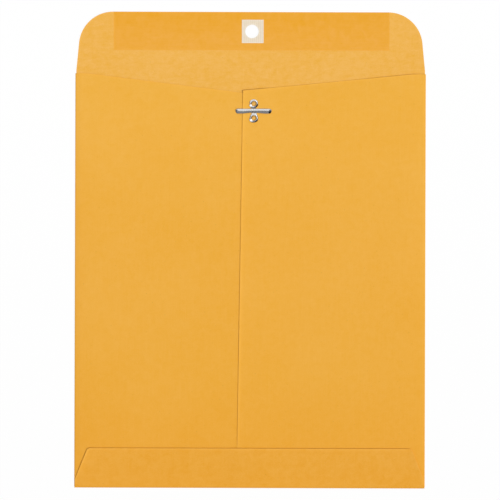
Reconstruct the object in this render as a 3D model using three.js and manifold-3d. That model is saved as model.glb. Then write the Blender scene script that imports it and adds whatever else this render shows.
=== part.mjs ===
// A clasp envelope lying open and flat with its front up. Millimetres, +Z up, +Y towards the flap.
// The origin is under the middle of the whole outline, on the surface that the envelope lies on.
// The sheets are flat layers stacked along Z, and each fold is the half-round bend between two layers.

import * as THREE from "three";
import { mergeVertices } from "three/addons/utils/BufferGeometryUtils.js";
import Module from "manifold-3d";

// Sheets and adhesive
const paperThickness = 0.15;
const glueThickness = 0.05;
const gumThickness = 0.03;
const patchThickness = 0.1;
const pocketDepth = 0.5;

// Pocket. The seam is the right panel's free edge, which lies over the left panel.
const bodyWidth = 254;
const bodyHeight = 302.3;
const shoulderDrop = 2.1;
const shoulderFlat = 9;
const rightThroatDrop = 12.2;
const leftThroatDrop = 15.7;
const seamTopX = -6.2;
const seamBottomX = -9.5;
const seamOverlapTop = 15.4;
const seamOverlapBottom = 21.4;
const seamGlueInset = 1.5;
const panelToFoldClearance = 0.1;

// Bottom flap, measured from the bottom fold's outer edge
const bottomFlapHeight = 28.8;
const bottomFlapSideInset = 9.3;
const bottomFlapRootHeight = 6;
const bottomFlapCorner = 2;
const bottomGlueHeight = 16;
const bottomGlueInset = 4;

// Closure flap, measured from its crease
const flapHeight = 42.7;
const flapShoulderInset = 0.6;
const flapSlantDegrees = 5.5;
const flapCornerRadius = 21.4;
const creaseStripHeight = 1;
const gumBandHeight = 27.5;
const gumEndInset = 3;
const patchWidth = 15.7;
const patchHeight = 16.9;
const holeDiameter = 9.7;
const holeOffset = 0.7;

// Clasp, which lies as far below the crease as the flap's hole lies above it
const claspReach = 28.65;
const claspOffset = 2;
const plateThickness = 0.3;
const plateSideMargin = 1.1;
const plateEndMargin = 1.1;
const plateCornerRadius = 3;
const eyeletSpacing = 10.4;
const eyeletBoreDiameter = 3.3;
const eyeletBarrelWall = 0.4;
const eyeletRingWidth = 1.7;
const eyeletRingHeight = 0.6;
const eyeletClearance = 0.1;

// Prongs. Each turns on a knuckle at the line where its strip bends over the paper.
const barLength = 25.8;
const barUpperEdge = 1.25;
const barWaistEdge = 1.4;
const barSwellEdge = 2.15;
const barSwellInset = 2;
const barTipDrop = 0.35;
const beadHeight = 0.8;
const beadSideHeight = 0.15;
const beadRoundWidth = 0.9;
const beadWall = 0.3;
const beadHollowRadius = 0.8;
const beadHollowInset = 1.3;
const prongHingeOffset = 0.65;
const knuckleRadius = 0.25;
const knuckleWidth = 2;
const prongClearance = 0.1;
const tabThickness = 0.3;
const tabClearance = 0.05;
const slotClearance = 0.15;

// Fineness of the curved surfaces
const foldSteps = 12;
const cornerSteps = 24;
const holeSteps = 32;
const ringSteps = 36;
const rollSteps = 10;
const beadSteps = 10;
const beadRoundSteps = 6;

// Levels of the layers, from the underside up
const leftPanelBase = paperThickness + pocketDepth;
const leftPanelTop = leftPanelBase + paperThickness;
const rightPanelBase = leftPanelTop + glueThickness;
const rightPanelTop = rightPanelBase + paperThickness;
const bottomFlapBase = rightPanelTop + glueThickness;
const bottomFlapTop = bottomFlapBase + paperThickness;
const gumTop = paperThickness + gumThickness;
const plateBase = leftPanelBase - plateThickness;
const prongHingeHeight = rightPanelTop + prongClearance + knuckleRadius;

// Lines of the outline. A fold's outer radius is half of the stack that it goes round.
const leftFoldRadius = leftPanelTop / 2;
const rightFoldRadius = rightPanelTop / 2;
const bottomFoldRadius = bottomFlapTop / 2;
const sideX = bodyWidth / 2;
const leftPanelX = -sideX + leftFoldRadius;
const rightPanelX = sideX - rightFoldRadius;
const leftShoulderX = -sideX + shoulderFlat;
const rightShoulderX = sideX - shoulderFlat;
const leftEdgeTopX = seamTopX + seamOverlapTop;
const leftEdgeBottomX = seamBottomX + seamOverlapBottom;
const flapRootX = sideX - flapShoulderInset;
const bottomY = -(bodyHeight + flapHeight) / 2;
const bottomPanelY = bottomY + bottomFoldRadius;
const sidePanelBottomY = bottomPanelY + panelToFoldClearance;
const bottomFlapTopY = bottomY + bottomFlapHeight;
const creaseY = bottomY + bodyHeight;
const shoulderY = creaseY - shoulderDrop;
const rightThroatY = shoulderY - rightThroatDrop;
const leftThroatY = shoulderY - leftThroatDrop;
const flapStartY = creaseY + creaseStripHeight / 2;
const flapTopY = creaseY + flapHeight;
const holeY = creaseY + claspReach;
const claspY = creaseY - claspReach;
const eyeletYs = [claspY + eyeletSpacing / 2, claspY - eyeletSpacing / 2];
const eyeletBoreRadius = eyeletBoreDiameter / 2;
const eyeletBarrelRadius = eyeletBoreRadius + eyeletBarrelWall;
const eyeletRingRadius = eyeletBoreRadius + eyeletRingWidth;

// The closure flap's rounded corners are arcs that touch its slanting sides and its top edge.
const flapSlant = THREE.MathUtils.degToRad(flapSlantDegrees);
const cornerY = flapTopY - flapCornerRadius;
const cornerInset = (flapCornerRadius + (cornerY - creaseY) * Math.sin(flapSlant)) / Math.cos(flapSlant);
const cornerX = flapRootX - cornerInset;

const kraftFront = { color: 0xecb046, roughness: 0.85, metalness: 0 };
const kraftInner = { color: 0xefb453, roughness: 0.88, metalness: 0 };
const kraftLow = { color: 0xe9a63c, roughness: 0.85, metalness: 0 };
const gummedKraft = { color: 0xeeab3f, roughness: 0.5, metalness: 0 };
const clothPatch = { color: 0xecddc5, roughness: 0.9, metalness: 0 };
const dryGlue = { color: 0xd9b778, roughness: 0.6, metalness: 0 };
const tinnedSteel = { color: 0xc9cacc, roughness: 0.28, metalness: 1 };

const wasm = await Module();
wasm.setup();

function namedMesh(name, geometry, look) {
  const mesh = new THREE.Mesh(geometry, new THREE.MeshStandardMaterial(look));
  mesh.name = name;
  return mesh;
}

function polygon(points) {
  return new THREE.Shape(points.map(([x, y]) => new THREE.Vector2(x, y)));
}

function rectanglePoints(x, y, width, height) {
  return [
    [x - width / 2, y - height / 2],
    [x + width / 2, y - height / 2],
    [x + width / 2, y + height / 2],
    [x - width / 2, y + height / 2],
  ];
}

function circlePath(x, y, radius) {
  const path = new THREE.Path();
  path.absarc(x, y, radius, 0, 2 * Math.PI, true);
  return path;
}

// A flat layer of the given outline, standing on the given level.
function layer(shape, base, thickness, curveSegments = cornerSteps) {
  const geometry = new THREE.ExtrudeGeometry(shape, { depth: thickness, bevelEnabled: false, curveSegments });
  return geometry.translate(0, 0, base);
}

function solidFrom(geometry) {
  const bare = geometry.clone();
  bare.deleteAttribute("normal");
  bare.deleteAttribute("uv");
  const merged = mergeVertices(bare, 1e-5);
  const vertProperties = new Float32Array(merged.attributes.position.array);
  const triVerts = new Uint32Array(merged.index.array);
  return new wasm.Manifold(new wasm.Mesh({ numProp: 3, vertProperties, triVerts }));
}

function geometryFrom(solid) {
  const mesh = solid.getMesh();
  const geometry = new THREE.BufferGeometry();
  geometry.setAttribute("position", new THREE.BufferAttribute(new Float32Array(mesh.vertProperties), 3));
  geometry.setIndex(Array.from(mesh.triVerts));
  geometry.computeVertexNormals();
  return geometry;
}

// The x of the right panel's free edge at a height.
function seamX(y) {
  const share = (y - sidePanelBottomY) / (rightThroatY - sidePanelBottomY);
  return THREE.MathUtils.lerp(seamBottomX, seamTopX, share);
}

// The x of the left panel's edge under the seam at a height.
function hiddenEdgeX(y) {
  const share = (y - sidePanelBottomY) / (leftThroatY - sidePanelBottomY);
  return THREE.MathUtils.lerp(leftEdgeBottomX, leftEdgeTopX, share);
}

// The left panel's sloping throat edge at an x between its shoulder and its hidden edge.
function leftThroatAt(x) {
  const share = (x - leftShoulderX) / (leftEdgeTopX - leftShoulderX);
  return THREE.MathUtils.lerp(shoulderY, leftThroatY, share);
}

// Two round holes for the eyelets' barrels and a slot for the prongs' tabs.
function withClaspHoles(shape) {
  for (const y of eyeletYs) {
    shape.holes.push(circlePath(claspOffset, y, eyeletBarrelRadius + eyeletClearance));
  }
  const slotWidth = 2 * (prongHingeOffset + tabThickness / 2 + slotClearance);
  const slotHeight = knuckleWidth + 2 * slotClearance;
  shape.holes.push(polygon(rectanglePoints(claspOffset, claspY, slotWidth, slotHeight)));
  return shape;
}

function backPanel() {
  const shape = polygon([
    [leftPanelX, bottomPanelY],
    [rightPanelX, bottomPanelY],
    [rightPanelX, shoulderY],
    [flapRootX, shoulderY],
    [flapRootX, creaseY - creaseStripHeight / 2],
    [-flapRootX, creaseY - creaseStripHeight / 2],
    [-flapRootX, shoulderY],
    [leftPanelX, shoulderY],
  ]);
  return namedMesh("back_panel", layer(shape, 0, paperThickness), kraftFront);
}

function leftSidePanel() {
  const shape = polygon([
    [leftPanelX, sidePanelBottomY],
    [leftEdgeBottomX, sidePanelBottomY],
    [leftEdgeTopX, leftThroatY],
    [leftShoulderX, shoulderY],
    [leftPanelX, shoulderY],
  ]);
  const geometry = layer(withClaspHoles(shape), leftPanelBase, paperThickness, holeSteps);
  return namedMesh("left_side_panel", geometry, kraftFront);
}

function rightSidePanel() {
  const shape = polygon([
    [seamBottomX, sidePanelBottomY],
    [rightPanelX, sidePanelBottomY],
    [rightPanelX, shoulderY],
    [rightShoulderX, shoulderY],
    [seamTopX, rightThroatY],
  ]);
  const geometry = layer(withClaspHoles(shape), rightPanelBase, paperThickness, holeSteps);
  return namedMesh("right_side_panel", geometry, kraftFront);
}

// The adhesive fills the panels' overlap, inset from every edge.
function seamGlue() {
  const bottom = sidePanelBottomY + seamGlueInset;
  const rightTop = leftThroatY - seamGlueInset;
  const leftTop = leftThroatAt(seamTopX + seamGlueInset) - seamGlueInset;
  const shape = polygon([
    [seamX(bottom) + seamGlueInset, bottom],
    [hiddenEdgeX(bottom) - seamGlueInset, bottom],
    [hiddenEdgeX(rightTop) - seamGlueInset, rightTop],
    [seamX(leftTop) + seamGlueInset, leftTop],
  ]);
  const geometry = layer(withClaspHoles(shape), leftPanelTop, glueThickness, holeSteps);
  return namedMesh("seam_glue", geometry, dryGlue);
}

// A half-round bend of paper, centred on its axis, with its open side along +X and its length along -Y.
function foldGeometry(radius, length) {
  const inner = radius - paperThickness;
  const section = new THREE.Shape();
  section.moveTo(0, -radius);
  section.absarc(0, 0, radius, -Math.PI / 2, Math.PI / 2, true);
  section.lineTo(0, inner);
  section.absarc(0, 0, inner, Math.PI / 2, -Math.PI / 2, false);
  section.closePath();
  const options = { depth: length, bevelEnabled: false, curveSegments: foldSteps };
  return new THREE.ExtrudeGeometry(section, options).rotateX(Math.PI / 2);
}

function leftSideFold() {
  const geometry = foldGeometry(leftFoldRadius, shoulderY - sidePanelBottomY);
  geometry.translate(leftPanelX, shoulderY, leftFoldRadius);
  return namedMesh("left_side_fold", geometry, kraftFront);
}

function rightSideFold() {
  const geometry = foldGeometry(rightFoldRadius, shoulderY - sidePanelBottomY);
  geometry.rotateZ(Math.PI);
  geometry.translate(rightPanelX, sidePanelBottomY, rightFoldRadius);
  return namedMesh("right_side_fold", geometry, kraftFront);
}

function bottomFold() {
  const geometry = foldGeometry(bottomFoldRadius, rightPanelX - leftPanelX);
  geometry.rotateZ(Math.PI / 2);
  geometry.translate(leftPanelX, bottomPanelY, bottomFoldRadius);
  return namedMesh("bottom_fold", geometry, kraftLow);
}

// The bottom flap's slanting sides run from the pocket's sides to rounded corners on its top edge.
function bottomFlap() {
  const topLeft = leftPanelX + bottomFlapSideInset;
  const topRight = rightPanelX - bottomFlapSideInset;
  const rootY = bottomY + bottomFlapRootHeight;
  const cornerRun = (bottomFlapCorner * bottomFlapSideInset) / (bottomFlapTopY - rootY);
  const cornerBaseY = bottomFlapTopY - bottomFlapCorner;
  const shape = new THREE.Shape();
  shape.moveTo(leftPanelX, bottomPanelY);
  shape.lineTo(rightPanelX, bottomPanelY);
  shape.lineTo(rightPanelX, rootY);
  shape.lineTo(topRight + cornerRun, cornerBaseY);
  shape.quadraticCurveTo(topRight, bottomFlapTopY, topRight - bottomFlapCorner, bottomFlapTopY);
  shape.lineTo(topLeft + bottomFlapCorner, bottomFlapTopY);
  shape.quadraticCurveTo(topLeft, bottomFlapTopY, topLeft - cornerRun, cornerBaseY);
  shape.lineTo(leftPanelX, rootY);
  shape.closePath();
  const geometry = layer(shape, bottomFlapBase, paperThickness, beadSteps);
  return namedMesh("bottom_flap", geometry, kraftLow);
}

// A band of adhesive under the bottom flap's top edge, on one side of the seam.
function bottomGlue(name, side, base) {
  const outerX = side * (sideX - bottomFlapSideInset - bottomGlueInset);
  const topY = bottomFlapTopY - bottomGlueInset;
  const lowY = topY - bottomGlueHeight;
  const shape = polygon([
    [seamX(lowY) + side * seamGlueInset, lowY],
    [outerX, lowY],
    [outerX, topY],
    [seamX(topY) + side * seamGlueInset, topY],
  ]);
  return namedMesh(name, layer(shape, base, bottomFlapBase - base), dryGlue);
}

function flapHole() {
  return circlePath(holeOffset, holeY, holeDiameter / 2);
}

function closureFlap() {
  const startX = flapRootX - (flapStartY - creaseY) * Math.tan(flapSlant);
  const shape = new THREE.Shape();
  shape.moveTo(-startX, flapStartY);
  shape.lineTo(startX, flapStartY);
  shape.absarc(cornerX, cornerY, flapCornerRadius, flapSlant, Math.PI / 2, false);
  shape.absarc(-cornerX, cornerY, flapCornerRadius, Math.PI / 2, Math.PI - flapSlant, false);
  shape.closePath();
  shape.holes.push(flapHole());
  return namedMesh("closure_flap", layer(shape, 0, paperThickness, holeSteps), kraftInner);
}

// The scored strip between the back panel and the closure flap.
function flapCrease() {
  const startY = creaseY - creaseStripHeight / 2;
  const endX = flapRootX - (flapStartY - creaseY) * Math.tan(flapSlant);
  const shape = polygon([
    [-flapRootX, startY],
    [flapRootX, startY],
    [flapRootX, creaseY],
    [endX, flapStartY],
    [-endX, flapStartY],
    [-flapRootX, creaseY],
  ]);
  return namedMesh("flap_crease", layer(shape, 0, paperThickness), kraftInner);
}

function flapGum() {
  const width = 2 * (cornerX - gumEndInset);
  const shape = polygon(rectanglePoints(0, flapTopY - gumBandHeight / 2, width, gumBandHeight));
  shape.holes.push(flapHole());
  return namedMesh("flap_gum", layer(shape, paperThickness, gumThickness, holeSteps), gummedKraft);
}

function holePatch() {
  const shape = polygon(rectanglePoints(holeOffset, holeY, patchWidth, patchHeight));
  shape.holes.push(flapHole());
  return namedMesh("hole_patch", layer(shape, gumTop, patchThickness, holeSteps), clothPatch);
}

function roundedRectangle(x, y, width, height, radius) {
  const right = x + width / 2 - radius;
  const left = x - width / 2 + radius;
  const top = y + height / 2 - radius;
  const bottom = y - height / 2 + radius;
  const shape = new THREE.Shape();
  shape.absarc(right, top, radius, 0, Math.PI / 2, false);
  shape.absarc(left, top, radius, Math.PI / 2, Math.PI, false);
  shape.absarc(left, bottom, radius, Math.PI, 1.5 * Math.PI, false);
  shape.absarc(right, bottom, radius, 1.5 * Math.PI, 2 * Math.PI, false);
  shape.closePath();
  return shape;
}

// The plate under the panels, with the two upright tabs that the prongs bend from.
function claspBasePlate() {
  const width = 2 * (eyeletRingRadius + plateSideMargin);
  const height = eyeletSpacing + 2 * (eyeletRingRadius + plateEndMargin);
  const outline = roundedRectangle(claspOffset, claspY, width, height, plateCornerRadius);
  for (const y of eyeletYs) {
    outline.holes.push(circlePath(claspOffset, y, eyeletBoreRadius));
  }
  let solid = solidFrom(layer(outline, plateBase, plateThickness));
  const tabHeight = prongHingeHeight - knuckleRadius - tabClearance - plateBase;
  for (const side of [-1, 1]) {
    const tab = new THREE.BoxGeometry(tabThickness, knuckleWidth, tabHeight);
    tab.translate(claspOffset + side * prongHingeOffset, claspY, plateBase + tabHeight / 2);
    solid = solid.add(solidFrom(tab));
  }
  return namedMesh("clasp_base_plate", geometryFrom(solid), tinnedSteel);
}

// A barrel through both panels whose upper end is rolled out into a ring on the right panel.
function eyelet(name, y) {
  const middle = (eyeletBoreRadius + eyeletRingRadius) / 2;
  const profile = [
    new THREE.Vector2(eyeletBoreRadius, leftPanelBase),
    new THREE.Vector2(eyeletBarrelRadius, leftPanelBase),
    new THREE.Vector2(eyeletBarrelRadius, rightPanelTop),
  ];
  for (let step = 0; step <= rollSteps; step += 1) {
    const angle = (Math.PI * step) / rollSteps;
    const radius = middle + (eyeletRingWidth / 2) * Math.cos(angle);
    profile.push(new THREE.Vector2(radius, rightPanelTop + eyeletRingHeight * Math.sin(angle)));
  }
  profile.push(profile[0].clone());
  const geometry = new THREE.LatheGeometry(profile, ringSteps).rotateX(Math.PI / 2);
  const mesh = namedMesh(name, geometry, tinnedSteel);
  mesh.position.set(claspOffset, y, 0);
  return mesh;
}

// A prong's plan outline, from its hinge line out to its tip. Side is -1 to the left and 1 to the right.
function prongOutline(side) {
  const length = barLength / 2 - prongHingeOffset;
  const swellX = length - barSwellInset;
  const shape = new THREE.Shape();
  shape.moveTo(0, barUpperEdge);
  shape.lineTo(0, -barWaistEdge);
  shape.bezierCurveTo(
    side * swellX * 0.4,
    -barWaistEdge,
    side * swellX * 0.6,
    -barSwellEdge,
    side * swellX,
    -barSwellEdge,
  );
  shape.quadraticCurveTo(side * (length - barSwellInset * 0.15), -barSwellEdge, side * length, -barTipDrop);
  shape.quadraticCurveTo(side * length, barUpperEdge, side * swellX, barUpperEdge);
  shape.closePath();
  return shape;
}

// A hollow-backed bead with its flat side down, joined to a knuckle on the hinge line.
function prong(name, side) {
  const length = barLength / 2 - prongHingeOffset;
  const bead = new THREE.ExtrudeGeometry(prongOutline(side), {
    depth: beadSideHeight,
    bevelEnabled: true,
    bevelThickness: beadHeight - beadSideHeight,
    bevelSize: beadRoundWidth,
    bevelOffset: -beadRoundWidth,
    bevelSegments: beadRoundSteps,
    curveSegments: beadSteps,
  });
  bead.translate(0, 0, -knuckleRadius);
  const lowerHalf = new THREE.BoxGeometry(2 * barLength, 2 * barLength, 2 * beadHeight);
  lowerHalf.translate(0, 0, -knuckleRadius - beadHeight);
  const hollowLength = length - 2 * beadHollowInset - 2 * beadHollowRadius;
  const hollow = new THREE.CapsuleGeometry(beadHollowRadius, hollowLength, beadRoundSteps, 2 * beadSteps);
  hollow.rotateZ(Math.PI / 2);
  hollow.scale(1, 1, (beadHeight - beadWall) / beadHollowRadius);
  hollow.translate((side * length) / 2, (barUpperEdge - barWaistEdge) / 2, -knuckleRadius);
  const knuckle = new THREE.CylinderGeometry(knuckleRadius, knuckleRadius, knuckleWidth, 2 * beadSteps);
  const solid = solidFrom(bead)
    .subtract(solidFrom(lowerHalf))
    .subtract(solidFrom(hollow))
    .add(solidFrom(knuckle));
  const mesh = namedMesh(name, geometryFrom(solid), tinnedSteel);
  mesh.position.set(claspOffset + side * prongHingeOffset, claspY, prongHingeHeight);
  return mesh;
}

const pocket = new THREE.Group();
pocket.add(
  backPanel(),
  leftSideFold(),
  rightSideFold(),
  bottomFold(),
  leftSidePanel(),
  seamGlue(),
  rightSidePanel(),
  bottomGlue("bottom_glue_left", -1, leftPanelTop),
  bottomGlue("bottom_glue_right", 1, rightPanelTop),
  bottomFlap(),
  flapCrease(),
);

const flap = new THREE.Group();
flap.add(closureFlap(), flapGum(), holePatch());

const clasp = new THREE.Group();
clasp.add(
  claspBasePlate(),
  eyelet("upper_eyelet", eyeletYs[0]),
  eyelet("lower_eyelet", eyeletYs[1]),
  prong("left_prong", -1),
  prong("right_prong", 1),
);

const envelope = new THREE.Group();
envelope.add(pocket, flap, clasp);

export default envelope;
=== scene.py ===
"""A kraft paper clasp envelope that lies open on its back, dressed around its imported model.

Sizes are in millimetres in the envelope's own frame and become metres where a mesh is made:
X across the envelope, Y towards the flap, Z out of the front. Every sheet is a thin shell
round a middle surface that follows the paper: flat where the clasp holds it, pinched at the
folds, a little full in the pocket and slightly lifted along its cut edges.
"""

import math

import bpy
import numpy as np
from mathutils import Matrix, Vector, geometry, noise


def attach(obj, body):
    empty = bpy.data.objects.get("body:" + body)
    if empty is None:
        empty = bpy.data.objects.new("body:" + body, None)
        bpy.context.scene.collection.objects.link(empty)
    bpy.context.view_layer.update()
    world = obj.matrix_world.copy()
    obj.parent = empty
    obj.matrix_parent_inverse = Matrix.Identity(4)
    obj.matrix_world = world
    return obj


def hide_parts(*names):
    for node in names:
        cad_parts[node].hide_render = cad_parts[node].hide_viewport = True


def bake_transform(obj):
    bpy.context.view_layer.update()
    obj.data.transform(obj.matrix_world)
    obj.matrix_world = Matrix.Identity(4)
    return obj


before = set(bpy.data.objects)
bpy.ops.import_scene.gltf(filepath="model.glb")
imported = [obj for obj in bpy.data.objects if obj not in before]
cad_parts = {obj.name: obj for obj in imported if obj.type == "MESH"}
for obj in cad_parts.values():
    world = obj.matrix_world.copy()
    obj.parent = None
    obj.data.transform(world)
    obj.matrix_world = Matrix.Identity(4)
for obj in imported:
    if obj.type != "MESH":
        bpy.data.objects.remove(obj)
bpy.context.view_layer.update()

MM = 0.001

# Paper and adhesive
PAPER = 0.15
GLUE = 0.05
GUM = 0.03
PATCH = 0.1
LAYER_STEP = PAPER + GLUE

# Lines of the pocket
SIDE_X = 127.0
LEFT_FOLD_X = -126.6
RIGHT_FOLD_X = 126.5
BOTTOM_FOLD_Y = -171.9
PANEL_BOTTOM_Y = -171.8
SHOULDER_X = 118.0
SHOULDER_Y = 127.7
SEAM_BOTTOM_X, SEAM_TOP_X = -9.35, -5.5
RIGHT_THROAT_Y = 115.5
HIDDEN_BOTTOM_X, HIDDEN_TOP_X = 11.9, 9.2
LEFT_THROAT_Y = 112.0
SEAM_GLUE_INSET = 1.5

# Bottom flap
FLAP_LOW_TOP_Y = -143.7
FLAP_LOW_ROOT_Y = -166.5
FLAP_LOW_INSET = 9.3
FLAP_LOW_CORNER = 2.0
LOW_GLUE_TOP_Y, LOW_GLUE_BOTTOM_Y = -147.7, -163.7
LOW_GLUE_END_X = 113.7

# Closure flap, gum, patch and hole
CREASE_Y = 129.8
FLAP_ROOT_X = 126.4
FLAP_TOP_Y = 172.5
FLAP_SLANT = math.radians(5.5)
FLAP_CORNER_RADIUS = 24.9
FLAP_CORNER_Y = FLAP_TOP_Y - FLAP_CORNER_RADIUS
FLAP_CORNER_INSET = FLAP_CORNER_RADIUS + (FLAP_CORNER_Y - CREASE_Y) * math.sin(FLAP_SLANT)
FLAP_CORNER_X = FLAP_ROOT_X - FLAP_CORNER_INSET / math.cos(FLAP_SLANT)
GUM_X, GUM_REACH, GUM_BOTTOM_Y = 0.6, 99.95, 144.8
HOLE_X, HOLE_Y, HOLE_RADIUS = 0.85, 158.45, 4.85
PATCH_OFFSET, PATCH_WIDTH, PATCH_HEIGHT = 0.55, 15.7, 16.9

# Clasp
CLASP_X, CLASP_Y = 2.0, 101.15
EYELET_X, EYELET_YS = 2.4, (106.0, 95.6)
BORE_RADIUS = 1.8
BARREL_RADIUS = 2.05
RING_RADIUS = 3.2
PANEL_HOLE_RADIUS = 2.15
SLOT_WIDTH, SLOT_HEIGHT, SLOT_DROP = 1.9, 2.7, 0.2
PLATE_WIDTH, PLATE_HEIGHT = 8.9, 19.3
PLATE_CORNER = 2.4
PLATE_MIDDLE_Z, PLATE_THICKNESS = 0.5, 0.3
PLATE_TAB_THICKNESS, PLATE_TAB_WIDTH, PLATE_TAB_TOP_Z = 0.3, 2.0, 1.05
FRONT_TOP_Z = 1.0
EYELET_FOOT_Z, BORE_BEND_Z, BORE_FLARE_Z, LIP_Z, RING_TOP_Z = 0.65, 0.85, 1.05, 1.08, 1.46
PRONG_HINGE_OFFSET = 0.65
PRONG_HINGE_Z = 1.35
PRONG_LENGTH = 12.25
PRONG_BASE, PRONG_CROWN, PRONG_WALL = -0.25, 0.55, 0.28
PRONG_ROOT, PRONG_ROOT_BASE = 0.64, 0.2
PRONG_UPPER, PRONG_WAIST, PRONG_SWELL = 1.22, 1.62, 2.42
PRONG_TIP_ROUND = 1.75

# Middle heights of the layers and how the paper moves away from them
BACK_Z = PAPER / 2
PLATE_REST = 0.15
PLATE_REST_REACH = 9.0
BORE_BULGE = 0.31
BORE_BULGE_REACH = 1.3
LEFT_PANEL_Z = 0.725
FOLD_DIP = 0.32
FOLD_DIP_REACH = 3.6
HIDDEN_STEP = 0.12
POCKET_SWELL = 0.52
SWELL_START_Y, SWELL_FULL_Y = CREASE_Y - 62, CREASE_Y - 140
SWELL_SIDE_REACH, SWELL_BOTTOM_REACH = 20, 24
SEAM_LIFT = 0.3
SEAM_LIFT_REACH = 1.6
THROAT_SINK = 0.4
THROAT_SINK_REACH = 9.0
LOW_EDGE_LIFT = 0.36
LOW_EDGE_LIFT_REACH = 2.2
FLAP_WAVE = 0.34

# How far the folds' middle lines bulge, the folds' length round the bend, the flare of the
# bottom fold's corners, and half the length that the flap's crease bends over
LEFT_FOLD_DEPTH, RIGHT_FOLD_DEPTH, BOTTOM_FOLD_DEPTH = 0.325, 0.425, 0.525
FOLD_ARC, FOLD_STEPS = 1.2, 12
BOTTOM_CORNER_FLARE = 0.4
CREASE_REACH = 0.83
# How much further along the grain's depth a sheet's underside is than its top
UNDERSIDE_LAYER = 60
RIM_RUBBING_AND_LIGHT_REACH, FOLD_PAINTED_LIGHT_REACH = 0.7, 0.9


def lerp(first, second, share):
    return first + (second - first) * share


def smooth(low, high, value):
    share = min(1.0, max(0.0, (value - low) / (high - low)))
    return share * share * (3 - 2 * share)


def fade(past, reach):
    """1 up to an edge, and a third of it at the reach past it."""
    return math.exp(-max(0.0, past) / reach)


def hump(away, reach):
    """1 in the middle, a third at the reach, and next to nothing at twice the reach."""
    return math.exp(-((away / reach) ** 2))


def ripple(x, y, length, layer):
    """A slow random swell between about -1 and 1, the same in every run."""
    return noise.noise(Vector((x / length, y / length, layer)))


# How the paper lies


def seam_x(y):
    share = (y - PANEL_BOTTOM_Y) / (RIGHT_THROAT_Y - PANEL_BOTTOM_Y)
    return lerp(SEAM_BOTTOM_X, SEAM_TOP_X, share)


def hidden_edge_x(y):
    share = (y - PANEL_BOTTOM_Y) / (LEFT_THROAT_Y - PANEL_BOTTOM_Y)
    return lerp(HIDDEN_BOTTOM_X, HIDDEN_TOP_X, share)


def left_throat_y(x):
    share = (x + SHOULDER_X) / (HIDDEN_TOP_X + SHOULDER_X)
    return lerp(SHOULDER_Y, LEFT_THROAT_Y, max(0.0, share))


def right_throat_y(x):
    share = (SHOULDER_X - x) / (SHOULDER_X - SEAM_TOP_X)
    return lerp(SHOULDER_Y, RIGHT_THROAT_Y, max(0.0, share))


def fold_pinch(x, y):
    """1 at the folded edges, where the sheets are pinched together, and 0 away from them."""
    left = fade(x - LEFT_FOLD_X, FOLD_DIP_REACH)
    right = fade(RIGHT_FOLD_X - x, FOLD_DIP_REACH)
    low = fade(y - BOTTOM_FOLD_Y, FOLD_DIP_REACH)
    return 1 - (1 - left) * (1 - right) * (1 - low)


def pocket_swell(x, y):
    """The empty pocket's slight fullness: none at the folds, the throat and the clasp."""
    below_clasp = smooth(SWELL_START_Y, SWELL_FULL_Y, y)
    off_sides = 1 - fade(SIDE_X - abs(x), SWELL_SIDE_REACH)
    off_bottom = 1 - fade(y - BOTTOM_FOLD_Y, SWELL_BOTTOM_REACH)
    wave = 0.5 + 0.35 * ripple(x, y, 74, 4.2) + 0.15 * ripple(x, y, 31, 9.7)
    return POCKET_SWELL * below_clasp * off_sides * off_bottom * wave


def front_level(x, y):
    return LEFT_PANEL_Z - FOLD_DIP * fold_pinch(x, y) + pocket_swell(x, y)


def throat_sink(x, y, below_edge):
    """Beside the clasp's plate the mouth's cut edge settles on the back, least at the right end."""
    settled = smooth(4.6, 12.5, abs(x - CLASP_X)) * (1 - 0.75 * smooth(70, 106, x))
    spare = 1 - 0.8 * fold_pinch(x, y)
    return THROAT_SINK * settled * spare * hump(below_edge, THROAT_SINK_REACH)


def past_hidden_edge(x, y):
    return HIDDEN_STEP * smooth(0, 9, x - hidden_edge_x(y))


def left_panel_level(x, y):
    return front_level(x, y) - throat_sink(x, y, left_throat_y(x) - y)


def seam_lift(x, y):
    """The free strip outside the seam's glue stands off a little, but not under a prong."""
    free = smooth(FLAP_LOW_TOP_Y - 1, FLAP_LOW_TOP_Y + 7, y)
    off_prong = max(smooth(1.4, 2.6, y - CLASP_Y), smooth(2.4, 3.6, CLASP_Y - y), 0.25)
    amount = SEAM_LIFT * free * off_prong * (1 + 0.3 * ripple(0, y, 38, 2.4))
    return amount * fade(x - seam_x(y), SEAM_LIFT_REACH)


def right_panel_level(x, y):
    moved = seam_lift(x, y) - throat_sink(x, y, right_throat_y(x) - y)
    return front_level(x, y) + LAYER_STEP - past_hidden_edge(x, y) + moved


def low_flap_rim(x, y):
    """How far a point of the bottom flap is from the flap's cut edges."""
    run = FLAP_LOW_INSET / (FLAP_LOW_TOP_Y - FLAP_LOW_ROOT_Y)
    tilt = math.hypot(1, run)
    rise = y - FLAP_LOW_ROOT_Y
    left = (x - (LEFT_FOLD_X + rise * run)) / tilt
    right = (RIGHT_FOLD_X - rise * run - x) / tilt
    return min(FLAP_LOW_TOP_Y - y, left, right)


def bottom_flap_level(x, y):
    over_seam = LAYER_STEP * smooth(-7, 0, x - seam_x(y))
    rooted = smooth(BOTTOM_FOLD_Y + 2, FLAP_LOW_ROOT_Y + 8, y)
    most = LOW_EDGE_LIFT * (1 + 0.3 * smooth(105, 116, -x))
    lifted = most * rooted * fade(low_flap_rim(x, y), LOW_EDGE_LIFT_REACH)
    return front_level(x, y) + over_seam - past_hidden_edge(x, y) + LAYER_STEP + lifted


def flap_wave(x, y):
    """The closure flap lies almost flat and curls up a little towards its corners."""
    out = smooth(4, 30, y - CREASE_Y)
    wave = 0.55 + 0.45 * ripple(x, y, 52, 7.1)
    curl = smooth(58, 118, abs(x)) * smooth(8, 42, y - CREASE_Y)
    return FLAP_WAVE * out * (0.45 * wave + 0.55 * curl)


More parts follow.
